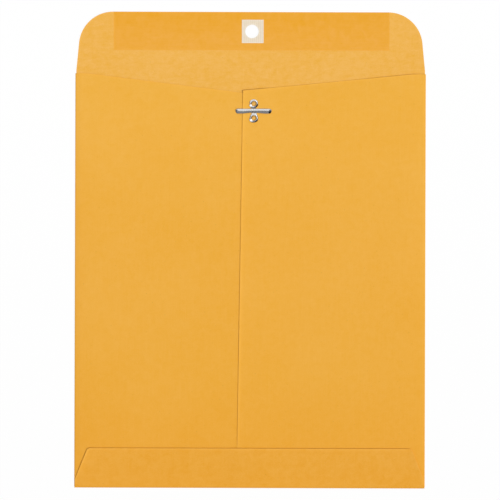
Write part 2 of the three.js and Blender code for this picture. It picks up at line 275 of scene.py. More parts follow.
def round_fold(turn, depth, top):
    """Where the middle line of a fold is, from its upper end at 0 to its lower end at 1."""
    angle = math.pi * turn
    half = (top - BACK_Z) / 2
    return depth * math.sin(angle), BACK_Z + half + half * math.cos(angle)


def side_panel_place(level, fold_x, way, depth):
    """How a side panel lies, and how it turns down to the back past its fold line."""
    def place(u, v):
        past = way * (u - fold_x)
        if past <= 0:
            return u, v, level(u, v)
        out, z = round_fold(past / FOLD_ARC, depth, level(fold_x, v))
        return fold_x + way * out, v, z
    return place


left_panel_place = side_panel_place(left_panel_level, LEFT_FOLD_X, -1, LEFT_FOLD_DEPTH)
right_panel_place = side_panel_place(right_panel_level, RIGHT_FOLD_X, 1, RIGHT_FOLD_DEPTH)


def bottom_flap_place(u, v):
    if v >= BOTTOM_FOLD_Y:
        return u, v, bottom_flap_level(u, v)
    top = bottom_flap_level(u, BOTTOM_FOLD_Y)
    out, z = round_fold((BOTTOM_FOLD_Y - v) / FOLD_ARC, BOTTOM_FOLD_DEPTH, top)
    flared = BOTTOM_CORNER_FLARE * smooth(121, 126.5, abs(u)) * out / BOTTOM_FOLD_DEPTH
    return u + math.copysign(flared, u), BOTTOM_FOLD_Y - out, z


def back_place(u, v):
    """The back sheet, held up a little against the clasp's plate and domed into its bores."""
    raised = flap_wave(u, v)
    raised += PLATE_REST * hump(math.dist((u, v), (CLASP_X, CLASP_Y)), PLATE_REST_REACH)
    for eyelet_y in EYELET_YS:
        from_bore = math.dist((u, v), (EYELET_X, eyelet_y))
        raised += BORE_BULGE * hump(from_bore, BORE_BULGE_REACH)
    return u, v, BACK_Z + raised


def above(place, rise):
    """The same lie, raised by a height."""
    def raised(u, v):
        x, y, z = place(u, v)
        return x, y, z + rise
    return raised


# Cutting the sheets


def walk(corners, step, rows=()):
    """A closed outline with points at most a step apart, and one at each named row."""
    path = []
    for start, end in zip(corners, corners[1:] + corners[:1]):
        count = max(1, math.ceil(math.dist(start, end) / step))
        stops = {index / count for index in range(count)}
        if abs(end[1] - start[1]) > 1e-6:
            crossed = ((row - start[1]) / (end[1] - start[1]) for row in rows)
            stops |= {share for share in crossed if 0 < share < 1}
        kept = []
        for share in sorted(stops):
            if not kept or (share - kept[-1]) * math.dist(start, end) > 0.05:
                kept.append(share)
        path += [(lerp(start[0], end[0], s), lerp(start[1], end[1], s)) for s in kept]
    return path


def arc(x, y, radius, start, end, steps):
    angles = [lerp(start, end, index / steps) for index in range(steps + 1)]
    return [(x + radius * math.cos(a), y + radius * math.sin(a)) for a in angles]


def circle(x, y, radius, steps):
    return arc(x, y, radius, 0, 2 * math.pi, steps)[:-1]


def box_corners(x, y, width, height):
    left, right, low, high = x - width / 2, x + width / 2, y - height / 2, y + height / 2
    return [(left, low), (right, low), (right, high), (left, high)]


def runs_left(a, b, c):
    """Whether three points go round anticlockwise."""
    return (b[0] - a[0]) * (c[1] - a[1]) - (c[0] - a[0]) * (b[1] - a[1]) > 0


def rim_distance(points, loops):
    """How far each point is from the nearest cut line."""
    nearest = np.full(len(points), 1e9)
    for loop in loops:
        start = np.array(loop)
        along = np.roll(start, -1, axis=0) - start
        offset = points[:, None] - start
        share = (offset * along).sum(-1) / np.maximum((along**2).sum(-1), 1e-12)
        foot = np.clip(share, 0, 1)[..., None] * along
        nearest = np.minimum(nearest, np.linalg.norm(offset - foot, axis=-1).min(1))
    return nearest


def inside(points, loop):
    x, y = points[:, :1], points[:, 1:]
    start = np.array(loop)
    end = np.roll(start, -1, axis=0)
    rise = end[:, 1] - start[:, 1]
    rise[np.abs(rise) < 1e-9] = 1e-9
    crosses = (start[:, 1] > y) != (end[:, 1] > y)
    meets = start[:, 0] + (y - start[:, 1]) * (end[:, 0] - start[:, 0]) / rise
    return (crosses & (x < meets)).sum(1) % 2 == 1


def on_sheet(points, loops):
    """Which points are inside the outline and outside every hole."""
    kept = inside(points, loops[0])
    for hole in loops[1:]:
        kept &= ~inside(points, hole)
    return kept


def filling(loops, step, rings, rows):
    """Points inside a sheet: a grid, whole rows at named heights, and lines beside the edges."""
    low, high = np.min(loops[0], axis=0), np.max(loops[0], axis=0)
    across = np.arange(math.ceil(low[0] / step), high[0] / step) * step
    up = np.arange(math.ceil(low[1] / step), high[1] / step) * step
    if rows:
        far = np.array([min(abs(y - row) for row in rows) for y in up])
        up = np.concatenate([up[far > 0.4 * step], rows])
    grid = np.array([(x, y) for y in up for x in across])
    near_rows = np.isin(grid[:, 1], rows)
    clearance = np.where(near_rows, 1.0, rings[-1] + 0.35 * step)
    found = [grid[on_sheet(grid, loops) & (rim_distance(grid, loops) > clearance)]]
    for ring in rings:
        for loop in loops:
            path = np.array(loop)
            along = np.roll(path, -1, axis=0) - np.roll(path, 1, axis=0)
            normal = np.stack([-along[:, 1], along[:, 0]], -1)
            normal /= np.maximum(np.linalg.norm(normal, axis=1), 1e-9)[:, None]
            for side in (1, -1):
                moved = path + side * ring * normal
                kept = on_sheet(moved, loops) & (rim_distance(moved, loops) > 0.93 * ring)
                if rows:
                    kept &= np.abs(moved[:, 1:] - np.array(rows)).min(1) > 0.5
                found.append(moved[kept])
    return np.concatenate(found)


def cut_sheet(loops, step, rings, rows=(), more=()):
    """Triangles over the region inside the first loop and outside the others.

    The step is between the points, and the rings are how far from the edges more of them lie.
    """
    points, edges = [], []
    for loop in loops:
        first = len(points)
        points += loop
        count = len(loop)
        edges += [(first + index, first + (index + 1) % count) for index in range(count)]
    points += [tuple(p) for p in filling(loops, step, rings, rows)]
    points += more
    flat = [Vector(p) for p in points]
    made = geometry.delaunay_2d_cdt(flat, edges, [], 1, 1e-5)
    places = [(p.x, p.y) for p in made[0]]
    middles = np.array([np.mean([places[i] for i in face], axis=0) for face in made[2]])
    faces = []
    for (a, b, c), kept in zip(made[2], on_sheet(middles, loops)):
        if kept:
            faces.append([a, b, c] if runs_left(places[a], places[b], places[c]) else [a, c, b])
    return places, faces


def carry_round(places, faces, axis, fold_at, way):
    """Carries a sheet's straight edge on round its fold, as strips that share its points."""
    on_fold = [i for i, place in enumerate(places) if abs(place[axis] - fold_at) < 1e-4]
    line = sorted(on_fold, key=lambda i: places[i][1 - axis])
    before = line
    for turn in range(1, FOLD_STEPS + 1):
        after = []
        for index in line:
            moved = list(places[index])
            moved[axis] += way * (FOLD_ARC * turn / FOLD_STEPS)
            after.append(len(places))
            places.append(tuple(moved))
        for a, b, c, d in zip(before, before[1:], after[1:], after):
            kept = runs_left(places[a], places[b], places[c])
            faces.append([a, b, c, d] if kept else [d, c, b, a])
        before = after


def edges_of(faces):
    return [edge for face in faces for edge in zip(face, face[1:] + face[:1])]


def between_rings(first, second, count):
    """Faces that join two rings of so many points, given the number of each ring's first one."""
    sides = [(index, (index + 1) % count) for index in range(count)]
    return [[first + a, first + b, second + b, second + a] for a, b in sides]


def new_object(name, data):
    made = bpy.data.objects.new(name, data)
    bpy.context.scene.collection.objects.link(made)
    return made


def build_mesh(name, corners, faces, finishes, face_finish=None, sharp=()):
    mesh = bpy.data.meshes.new(name)
    mesh.from_pydata([Vector(p) * MM for p in corners], [], faces)
    for finish in finishes:
        mesh.materials.append(finish)
    if face_finish is not None:
        mesh.polygons.foreach_set("material_index", face_finish)
    mesh.shade_smooth()
    if sharp:
        wanted = {tuple(sorted(edge)) for edge in sharp}
        for edge in mesh.edges:
            if tuple(sorted(edge.vertices)) in wanted:
                edge.use_edge_sharp = True
    mesh.update()
    return new_object(name, mesh)


def mark(piece, sheet_places, wear_and_light):
    """Where each point lies on the flat blank, in millimetres, and its mark of edge rubbing, painted
    highlight and painted shade.
    """
    where = piece.data.attributes.new("blank_place", "FLOAT_VECTOR", "POINT")
    where.data.foreach_set("vector", np.array(sheet_places, dtype=np.float32).ravel())
    rubbed = piece.data.attributes.new("rubbed", "FLOAT", "POINT")
    rubbed.data.foreach_set("value", np.array(wear_and_light, dtype=np.float32))


def paper_shell(name, places, faces, place, thickness, finishes, wear_and_light, layer):
    """Gives a sheet its thickness on both sides of its middle surface.

    The layer is where in the grain's depth the sheet lies, so that no two sheets look the same.
    """
    nudge = 0.02
    top, bottom = [], []
    for u, v in places:
        across = Vector(place(u + nudge, v)) - Vector(place(u - nudge, v))
        along = Vector(place(u, v + nudge)) - Vector(place(u, v - nudge))
        normal = across.cross(along).normalized()
        middle = Vector(place(u, v))
        top.append(middle + normal * thickness / 2)
        bottom.append(middle - normal * thickness / 2)
    count = len(places)
    edges = dict.fromkeys(edges_of(faces))
    rim = [(a, b) for a, b in edges if (b, a) not in edges]
    walls = [[b, a, a + count, b + count] for a, b in rim]
    under = [[i + count for i in reversed(face)] for face in faces]
    kinds = [0] * len(faces) + [1] * len(under) + [2] * len(walls)
    sharp = [edge for a, b in rim for edge in ((a, b), (a + count, b + count))]
    piece = build_mesh(name, top + bottom, faces + under + walls, finishes, kinds, sharp)
    spots = [(u, v, depth) for depth in (layer, layer + UNDERSIDE_LAYER) for u, v in places]
    mark(piece, spots, list(wear_and_light) * 2)
    return piece


def painted_light_and_rubbing_rims(places, loops, folds=()):
    """Pale edge rubbing and painted light along the cut edges and along the folds, gone 2 mm away
    from them.

    Above 0 the paper is painted pale, as edge rubbing and as painted highlight, and below 0 it is
    painted dark, as painted shade. A fold is an axis, its place on that axis and how much painted
    light it has.
    """
    points = np.array(places)
    worn_and_lit = np.exp(-rim_distance(points, loops) / RIM_RUBBING_AND_LIGHT_REACH)
    for axis, value, amount in folds:
        beside = np.abs(points[:, axis] - value)
        worn_and_lit = np.where(beside < 4, amount * np.exp(-((beside / FOLD_PAINTED_LIGHT_REACH) ** 2)), worn_and_lit)
    return worn_and_lit


def clasp_cuts():
    slot = box_corners(CLASP_X, CLASP_Y - SLOT_DROP, SLOT_WIDTH, SLOT_HEIGHT)
    holes = [circle(EYELET_X, y, PANEL_HOLE_RADIUS, 40) for y in EYELET_YS]
    return holes + [walk(slot, 0.6)]


# Finishes


class Tone:
    """A shader socket with one number on it. Each sign used on it adds that Math node."""

    def __init__(self, recipe, socket):
        self.recipe, self.socket = recipe, socket

    def __add__(self, other):
        return self.recipe.sum_up("ADD", self, other)

    def __sub__(self, other):
        return self.recipe.sum_up("SUBTRACT", self, other)

    def __rsub__(self, other):
        return self.recipe.sum_up("SUBTRACT", other, self)

    def __mul__(self, other):
        return self.recipe.sum_up("MULTIPLY", self, other)

    __radd__, __rmul__ = __add__, __mul__


class Recipe:
    """The nodes of a material or a world. node() adds one and gives back one of its outputs."""

    def __init__(self, owner):
        owner.use_nodes = True
        self.owner, self.tree = owner, owner.node_tree
        self.tree.nodes.clear()

    def node(self, kind, settings=None, sockets=None, output=0):
        made = self.tree.nodes.new(kind)
        for name, value in (settings or {}).items():
            if name == "stops":
                self.set_stops(made.color_ramp, value)
            else:
                setattr(made, name, value)
        for name, value in (sockets or {}).items():
            if isinstance(value, Tone):
                self.tree.links.new(value.socket, made.inputs[name])
            else:
                made.inputs[name].default_value = value
        return Tone(self, made.outputs[output]) if made.outputs else None

    @staticmethod
    def set_stops(ramp, stops):
        while len(ramp.elements) < len(stops):
            ramp.elements.new(0.5)
        for element, (position, colour) in zip(ramp.elements, stops):
            element.position, element.color = position, colour

    def sum_up(self, operation, first, second):
        return self.node("ShaderNodeMath", {"operation": operation}, {0: first, 1: second})

    def stretched(self, place, scale):
        return self.node("ShaderNodeVectorMath", {"operation": "MULTIPLY"}, {0: place, 1: scale})

    def cloud(self, place, scale, detail=2.0, roughness=0.5, distortion=0.0):
        """Soft noise from 0 to 1 in patches about 1 / scale mm wide, or a scale for each axis."""
        if isinstance(scale, tuple):
            place, scale = self.stretched(place, scale), 1.0
        sockets = {"Vector": place, "Scale": scale, "Detail": detail}
        sockets |= {"Roughness": roughness, "Distortion": distortion}
        return self.node("ShaderNodeTexNoise", {"noise_dimensions": "3D"}, sockets)

    def step(self, value, low, high):
        sockets = {"Value": value, "From Min": low, "From Max": high}
        return self.node("ShaderNodeMapRange", {"interpolation_type": "SMOOTHSTEP"}, sockets)

    def hairs(self, place, scale, width, distortion):
        """Thin curling lines where a cloud crosses its middle value, as fibres look."""
        cloud = self.cloud(place, scale, 1.0, 0.4, distortion)
        off_middle = self.node("ShaderNodeMath", {"operation": "ABSOLUTE"}, {0: cloud - 0.5})
        return 1 - self.step(off_middle, 0.0, width)

    def mixed(self, share, first, second):
        return self.node("ShaderNodeMix", {"data_type": "RGBA"}, {0: share, 6: first, 7: second}, 2)

    def bump(self, height, strength, depth):
        sockets = {"Strength": strength, "Distance": depth * MM, "Height": height}
        return self.node("ShaderNodeBump", None, sockets)

    def threads(self, place, direction, scale, distortion):
        settings = {"bands_direction": direction, "wave_profile": "SIN"}
        sockets = {"Vector": place, "Scale": scale, "Distortion": distortion, "Detail": 1.0}
        return self.node("ShaderNodeTexWave", settings, sockets)

    def ended(self, shader):
        """Makes a shader the material's surface, and gives back the material."""
        self.node("ShaderNodeOutputMaterial", None, {"Surface": shader})
        return self.owner

    def surface(self, sockets):
        return self.ended(self.node("ShaderNodeBsdfPrincipled", None, sockets))


def new_finish(name):
    return Recipe(bpy.data.materials.new(name))


def paint(red, green, blue):
    """A colour given as it looks on a screen, from 0 to 255, as the shader's own numbers."""
    def linear(level):
        share = level / 255
        return share / 12.92 if share <= 0.04045 else ((share + 0.055) / 1.055) ** 2.4
    return linear(red), linear(green), linear(blue), 1.0


def tinted(colour, red, green, blue):
    """The same colour with each part of it scaled, and none above full."""
    return tuple(min(1.0, level * share) for level, share in zip(colour, (red, green, blue))) + (1.0,)


# Painted shade: the pocket's paper is painted darker and warmer from the throat to the bottom fold,
# where the light falls off
PAINTED_SHADE_TOP_Y, PAINTED_SHADE_BOTTOM_Y = 110.0, -170.0
PAINTED_SHADE_STOPS = (
    (0.0, (1.0, 1.0, 1.0, 1.0)),
    (0.39, (1.0, 0.972, 0.94, 1.0)),
    (0.72, (1.0, 0.957, 0.86, 1.0)),
    (0.9, (1.0, 0.92, 0.76, 1.0)),
    (1.0, (1.0, 0.905, 0.7, 1.0)),
)


def on_blank(recipe):
    place = recipe.node("ShaderNodeAttribute", {"attribute_name": "blank_place"}, None, "Vector")
    rubbed = recipe.node("ShaderNodeAttribute", {"attribute_name": "rubbed"}, None, "Fac")
    return place, rubbed


def kraft(name, colour, cloudiness, streakiness, painted_shade_downwards=False):
    """Dyed kraft: uneven formation and dye, curled fibres, fine run lines, edges and folds painted
    pale as edge rubbing and painted highlight, folds painted dark as painted shade, and, where asked,
    painted shade towards the bottom.
    """
    recipe = new_finish(name)
    place, rubbed = on_blank(recipe)
    formation = recipe.cloud(place, 0.21, 3.0, 0.6, 0.4)
    drift = recipe.cloud(place, 0.018, 2.0)
    run_lines = recipe.cloud(place, (1.6, 0.035, 1.0), 2.0)
    streaks = recipe.cloud(place, (0.13, 0.5, 1.0), 3.0, 0.6, 1.2)
    pale_fibres = recipe.hairs(place, 0.75, 0.035, 1.6)
    dark_fibres = recipe.hairs(recipe.stretched(place, (1.0, 0.8, 1.3)), 0.9, 0.03, 2.0)
    grain = recipe.cloud(place, 1.1, 3.0, 0.7)
    flecks = recipe.step(recipe.cloud(place, 0.9, 0.0), 0.8, 0.86)
    pale_rubbing_and_highlight = recipe.sum_up("MAXIMUM", rubbed, 0.0)
    painted_fold_shade = recipe.sum_up("MAXIMUM", 0 - rubbed, 0.0)
    tone = (
        0.5
        + (formation - 0.5) * cloudiness
        + (drift - 0.5) * 0.4
        + (run_lines - 0.5) * 0.25
        + (grain - 0.5) * cloudiness
        + (streaks - 0.5) * streakiness
        + pale_fibres * 0.1
        - dark_fibres * 0.12
    )
    sheet = recipe.mixed(tone, tinted(colour, 0.96, 0.88, 0.38), tinted(colour, 1.04, 1.12, 1.66))
    # Painted shade that deepens from the throat to the bottom fold
    if painted_shade_downwards:
        height = recipe.node("ShaderNodeSeparateXYZ", None, {0: place}, "Y")
        drop = {"Value": height, "From Min": PAINTED_SHADE_TOP_Y, "From Max": PAINTED_SHADE_BOTTOM_Y}
        lower = recipe.node("ShaderNodeMapRange", None, drop)
        ramp = recipe.node("ShaderNodeValToRGB", {"stops": PAINTED_SHADE_STOPS}, {"Fac": lower})
        multiply = {"data_type": "RGBA", "blend_type": "MULTIPLY"}
        sheet = recipe.node("ShaderNodeMix", multiply, {0: 1.0, 6: sheet, 7: ramp}, 2)
    sheet = recipe.mixed(flecks * 0.25, sheet, tinted(colour, 0.5, 0.5, 0.5))
    # Painted highlight and edge rubbing: the cut edges and the right fold are painted lighter
    sheet = recipe.mixed(pale_rubbing_and_highlight * (0.25 + formation * 0.4), sheet, tinted(colour, 1.14, 1.16, 1.4))
    # Painted shade: the left and bottom folds are painted darker
    sheet = recipe.mixed(painted_fold_shade * (0.4 + formation * 0.5), sheet, tinted(colour, 0.84, 0.74, 0.5))
    relief = formation * 0.5 + grain * 0.35 + pale_fibres * 0.2 + run_lines * 0.3
    return recipe.surface({
        "Base Color": sheet,
        "Roughness": 0.74 + formation * 0.16,
        "Specular IOR Level": 0.22,
        "Normal": recipe.bump(relief, 0.35, 0.05),
    })


def brushed_gum(name, colour):
    """Dry gum rolled on in a band: smoother than the paper, thin and thick in patches."""
    recipe = new_finish(name)
    place, rubbed = on_blank(recipe)
    patches = recipe.cloud(place, 0.16, 4.0, 0.62, 0.6)
    rolled = recipe.cloud(place, (0.05, 0.9, 1.0), 2.0)
    fibres = recipe.hairs(place, 0.7, 0.04, 1.6)
    height = recipe.node("ShaderNodeSeparateXYZ", None, {0: place}, "Y")
    thick = recipe.step(height, GUM_BOTTOM_Y + 5, FLAP_TOP_Y + 2)
    tone = 0.56 + (patches - 0.5) * 1.1 + (rolled - 0.5) * 0.4 - fibres * 0.08 - thick * 0.28
    film = recipe.mixed(tone, tinted(colour, 0.97, 0.92, 0.3), tinted(colour, 1.03, 1.08, 1.75))
    # Rims painted lighter, as edge rubbing and painted highlight
    film = recipe.mixed(rubbed * (0.3 + patches * 0.5), film, tinted(colour, 1.05, 1.07, 1.2))
    return recipe.surface({
        "Base Color": film,
        "Roughness": 0.5 + patches * 0.22,
        "Specular IOR Level": 0.26,
        "Normal": recipe.bump(patches * 0.6 + rolled * 0.3 + fibres * 0.2, 0.3, 0.03),
    })


def backed_cloth(name, colour):
    """The reinforcing patch: off-white, with crossing threads pressed flat."""
    recipe = new_finish(name)
    place, rubbed = on_blank(recipe)
    warp = recipe.threads(place, "X", 0.22, 1.0)
    weft = recipe.threads(place, "Y", 0.62, 1.4)
    lint = recipe.hairs(place, 1.3, 0.05, 2.0)
    stain = recipe.cloud(place, 0.3, 3.0, 0.6)
    tone = 0.15 + warp * 0.6 + weft * 0.2 + (stain - 0.5) * 0.8 + lint * 0.1
    cloth = recipe.mixed(tone, tinted(colour, 0.88, 0.87, 0.84), tinted(colour, 1.07, 1.08, 1.1))
    # Rims painted lighter, as edge rubbing and painted highlight
    cloth = recipe.mixed(rubbed * 0.5, cloth, (0.9, 0.86, 0.78, 1.0))
    return recipe.surface({
        "Base Color": cloth,
        "Roughness": 0.82 + stain * 0.1,
        "Specular IOR Level": 0.25,
        "Normal": recipe.bump(warp * 0.6 + weft * 0.4 + lint * 0.3, 0.4, 0.04),
    })


def dried_paste(name, colour):
    """A thin line of paste that dried between two sheets, streaked by the wheel."""
    recipe = new_finish(name)
    place, rubbed = on_blank(recipe)
    pools = recipe.cloud(place, 0.4, 3.0, 0.6)
    streaks = recipe.cloud(place, (1.4, 0.1, 1.0), 2.0)
    tone = pools * 0.7 + streaks * 0.3
    pale = tinted(colour, 1.08, 1.08, 1.08)
    paste = recipe.mixed(tone, tinted(colour, 0.85, 0.85, 0.85), pale)
    # Rims painted lighter, as edge rubbing and painted highlight
    paste = recipe.mixed(rubbed * 0.4, paste, pale)
    return recipe.surface({
        "Base Color": paste,
        "Roughness": 0.4 + pools * 0.25,
        "Specular IOR Level": 0.3,
        "Normal": recipe.bump(pools * 0.7 + streaks * 0.3, 0.3, 0.03),
    })


def tinned_steel(name):
    """Bright tin on steel: soft drawing lines, fine scratches and duller scuffed spots."""
    recipe = new_finish(name)
    coordinates = recipe.node("ShaderNodeTexCoord", None, None, "Object")
    place = recipe.stretched(coordinates, (1000.0, 1000.0, 1000.0))
    mottle = recipe.cloud(place, 0.9, 3.0, 0.6, 0.5)
    drawn = recipe.cloud(place, (0.25, 5.0, 5.0), 2.0, 0.6)
    scratches = recipe.hairs(recipe.stretched(place, (1.1, 0.6, 0.8)), 1.2, 0.02, 0.4)
    tone = 0.5 + (mottle - 0.5) * 0.9 + (drawn - 0.5) * 0.5 - scratches * 0.12
    tin = recipe.mixed(tone, (0.61, 0.61, 0.6, 1.0), (0.76, 0.76, 0.77, 1.0))
    return recipe.surface({
        "Base Color": tin,
        "Metallic": 1.0,
        "Roughness": 0.12 + mottle * 0.1 + scratches * 0.08,
        "Normal": recipe.bump(drawn * 0.5 + mottle * 0.5 - scratches * 0.4, 0.25, 0.03),
    })


kraft_outside = kraft("kraft_outside", paint(239, 177, 69), 0.5, 0.1, painted_shade_downwards=True)
kraft_inside = kraft("kraft_inside", paint(238, 179, 82), 0.8, 0.7)
kraft_low_flap = kraft("kraft_low_flap", paint(237, 175, 70), 0.85, 0.3, painted_shade_downwards=True)
kraft_cut_edge = kraft("kraft_cut_edge", paint(232, 172, 84), 0.4, 0.1)
gum_finish = brushed_gum("flap_gum_film", paint(236, 168, 59))
patch_finish = backed_cloth("patch_cloth", paint(233, 217, 192))
paste_finish = dried_paste("seam_paste", paint(217, 183, 120))
steel_finish = tinned_steel("tinned_clasp_steel")


# The paper pieces


def closure_flap_corners():
    right = arc(FLAP_CORNER_X, FLAP_CORNER_Y, FLAP_CORNER_RADIUS, FLAP_SLANT, math.pi / 2, 30)
    left = [(-x, y) for x, y in reversed(right)]
    return [(FLAP_ROOT_X, CREASE_Y)] + right + left + [(-FLAP_ROOT_X, CREASE_Y)]


def make_back_and_closure_flap():
    corners = [(LEFT_FOLD_X, BOTTOM_FOLD_Y), (RIGHT_FOLD_X, BOTTOM_FOLD_Y)]
    corners += [(RIGHT_FOLD_X, SHOULDER_Y), (FLAP_ROOT_X, SHOULDER_Y)]
    corners += closure_flap_corners()
    corners += [(-FLAP_ROOT_X, SHOULDER_Y), (LEFT_FOLD_X, SHOULDER_Y)]
    rows = [CREASE_Y + CREASE_REACH * share / 6 for share in range(-7, 8)]
    loops = [walk(corners, 3.0, rows), circle(HOLE_X, HOLE_Y, HOLE_RADIUS, 64)]
    under_bores = []
    for eyelet_y in EYELET_YS:
        for radius in (0.3, 0.9, 1.5, 2.1, 2.9):
            under_bores += circle(EYELET_X, eyelet_y, radius, 18)
    places, faces = cut_sheet(loops, step=5.0, rings=(0.5, 1.6), rows=rows, more=under_bores)
    wear_and_light = painted_light_and_rubbing_rims(places, loops)
    finishes = [kraft_inside, kraft_outside, kraft_cut_edge]
    piece = paper_shell("back_and_closure_flap", places, faces, back_place, PAPER, finishes, wear_and_light, 0)
    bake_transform(piece)
    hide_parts("back_panel", "flap_crease", "closure_flap")


def make_folded_sheet(name, nodes, loops, cut, fold, place, outside, layer):
    """A sheet of the front with the fold that joins it to the back.

    The fold is its axis, its place on that axis, which way it turns and how much painted light it
    has: below 0 painted shade, above 0 painted highlight.
    """
    axis, fold_at, way, fold_painted_light = fold
    places, faces = cut_sheet(loops, **cut)
    carry_round(places, faces, axis, fold_at, way)
    wear_and_light = painted_light_and_rubbing_rims(places, loops[:1], [(axis, fold_at + way * FOLD_ARC / 2, fold_painted_light)])
    finishes = [outside, kraft_inside, kraft_cut_edge]
    piece = paper_shell(name, places, faces, place, PAPER, finishes, wear_and_light, layer)
    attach(piece, "pocket")
    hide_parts(*nodes)


def make_side_sheets():
    left = [(LEFT_FOLD_X, PANEL_BOTTOM_Y), (HIDDEN_BOTTOM_X, PANEL_BOTTOM_Y)]
    left += [(HIDDEN_TOP_X, LEFT_THROAT_Y), (-SHOULDER_X, SHOULDER_Y), (LEFT_FOLD_X, SHOULDER_Y)]
    right = [(SEAM_BOTTOM_X, PANEL_BOTTOM_Y), (RIGHT_FOLD_X, PANEL_BOTTOM_Y)]
    right += [(RIGHT_FOLD_X, SHOULDER_Y), (SHOULDER_X, SHOULDER_Y), (SEAM_TOP_X, RIGHT_THROAT_Y)]
    cut = {"step": 6.0, "rings": (0.6, 1.5, 3.2)}
    # The left fold is painted dark as painted shade, and the right fold pale as a painted highlight
    make_folded_sheet("left_side_sheet", ("left_side_panel", "left_side_fold"),
                      [walk(left, 3.0)] + clasp_cuts(), cut,
                      (0, LEFT_FOLD_X, -1, -1.0), left_panel_place, kraft_outside, layer=150)
    make_folded_sheet("right_side_sheet", ("right_side_panel", "right_side_fold"),
                      [walk(right, 3.0)] + clasp_cuts(), cut,
                      (0, RIGHT_FOLD_X, 1, 0.8), right_panel_place, kraft_outside, layer=300)


def low_flap_corner(side):
    """The small rounded corner at one end of the bottom flap's top edge."""
    edge = (RIGHT_FOLD_X if side > 0 else -LEFT_FOLD_X) - FLAP_LOW_INSET
    run = FLAP_LOW_CORNER * FLAP_LOW_INSET / (FLAP_LOW_TOP_Y - FLAP_LOW_ROOT_Y)
    start = (edge + run, FLAP_LOW_TOP_Y - FLAP_LOW_CORNER)
    peak, end = (edge, FLAP_LOW_TOP_Y), (edge - FLAP_LOW_CORNER, FLAP_LOW_TOP_Y)
    points = []
    for index in range(7):
        share = index / 6
        first = [lerp(a, b, share) for a, b in zip(start, peak)]
        second = [lerp(a, b, share) for a, b in zip(peak, end)]
        points.append((side * lerp(first[0], second[0], share), lerp(first[1], second[1], share)))
    return points


def make_bottom_flap_sheet():
    corners = [(LEFT_FOLD_X, BOTTOM_FOLD_Y), (RIGHT_FOLD_X, BOTTOM_FOLD_Y)]
    corners += [(RIGHT_FOLD_X, FLAP_LOW_ROOT_Y)] + low_flap_corner(1)
    corners += low_flap_corner(-1)[::-1] + [(LEFT_FOLD_X, FLAP_LOW_ROOT_Y)]
    cut = {"step": 4.0, "rings": (0.6, 1.5, 3.0)}
    # The bottom fold is painted dark as painted shade
    make_folded_sheet("bottom_flap_sheet", ("bottom_flap", "bottom_fold"), [walk(corners, 2.5)], cut,
                      (1, BOTTOM_FOLD_Y, -1, -1.0), bottom_flap_place, kraft_low_flap, layer=450)


def make_film(name, node, loops, place, thickness, finish, slot, body, layer, step=5.0):
    places, faces = cut_sheet(loops, step, rings=(0.6, 1.6))
    wear_and_light = painted_light_and_rubbing_rims(places, loops)
    piece = paper_shell(name, places, faces, place, thickness, [finish] * 3, wear_and_light, layer)
    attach(piece, body)
    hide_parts(node)


def make_paste_lines():
    """Paste in the seam's overlap and under both halves of the bottom flap."""
    low = PANEL_BOTTOM_Y + SEAM_GLUE_INSET
    right_top = LEFT_THROAT_Y - SEAM_GLUE_INSET
    left_top = left_throat_y(SEAM_TOP_X + SEAM_GLUE_INSET) - SEAM_GLUE_INSET
    corners = [(seam_x(low) + SEAM_GLUE_INSET, low), (hidden_edge_x(low) - SEAM_GLUE_INSET, low)]
    corners += [(hidden_edge_x(right_top) - SEAM_GLUE_INSET, right_top)]
    corners += [(seam_x(left_top) + SEAM_GLUE_INSET, left_top)]
    on_left = LAYER_STEP / 2
    seam_loops = [walk(corners, 3.0)] + clasp_cuts()
    paste = (paste_finish, "dry_adhesive", "pocket")
    make_film("seam_paste_line", "seam_glue", seam_loops, above(left_panel_place, on_left),
              GLUE, *paste, layer=600)
    for side, node in ((-1, "bottom_glue_left"), (1, "bottom_glue_right")):
        inner_low = seam_x(LOW_GLUE_BOTTOM_Y) + side * SEAM_GLUE_INSET
        inner_top = seam_x(LOW_GLUE_TOP_Y) + side * SEAM_GLUE_INSET
        corners = [(inner_low, LOW_GLUE_BOTTOM_Y), (side * LOW_GLUE_END_X, LOW_GLUE_BOTTOM_Y)]
        corners += [(side * LOW_GLUE_END_X, LOW_GLUE_TOP_Y), (inner_top, LOW_GLUE_TOP_Y)]
        loops = [walk(corners[::side], 3.0)]
        under_flap = above(bottom_flap_place, -on_left)
        make_film(node + "_paste", node, loops, under_flap, GLUE, *paste, layer=660 + 60 * side)


def make_gum_and_patch():
    hole = circle(HOLE_X, HOLE_Y, HOLE_RADIUS, 64)
    middle = (GUM_BOTTOM_Y + FLAP_TOP_Y) / 2
    band = walk(box_corners(GUM_X, middle, 2 * GUM_REACH, FLAP_TOP_Y - GUM_BOTTOM_Y), 2.0)
    uneven = []
    for x, y in band:
        from_middle = x - GUM_X
        if abs(from_middle) > GUM_REACH - 0.01:
            x += math.copysign(0.16, from_middle) * (ripple(0, y, 7, 3.3) - 0.4)
        if y < GUM_BOTTOM_Y + 0.01:
            y += 0.14 * ripple(x, 0, 9, 6.1)
        past_corner = max(0.0, abs(x) - FLAP_CORNER_X)
        top = FLAP_CORNER_Y + math.sqrt(FLAP_CORNER_RADIUS**2 - past_corner**2)
        uneven.append((x, min(y, top - 0.02)))
    make_film("flap_gum_band", "flap_gum", [uneven, hole], above(back_place, (PAPER + GUM) / 2),
              GUM, gum_finish, "flap_gum", "closure_flap", layer=800)
    square = walk(box_corners(HOLE_X + PATCH_OFFSET, HOLE_Y, PATCH_WIDTH, PATCH_HEIGHT), 1.2)
    patch_place = above(back_place, PAPER / 2 + GUM + PATCH / 2)
    make_film("hole_patch_square", "hole_patch", [square, hole], patch_place,
              PATCH, patch_finish, "cloth_patch", "closure_flap", layer=900, step=2.0)


# The clasp


def turned_from(angle, middle):
    """How many degrees one direction is from another, the short way round."""
    return abs((angle - middle + 180) % 360 - 180)


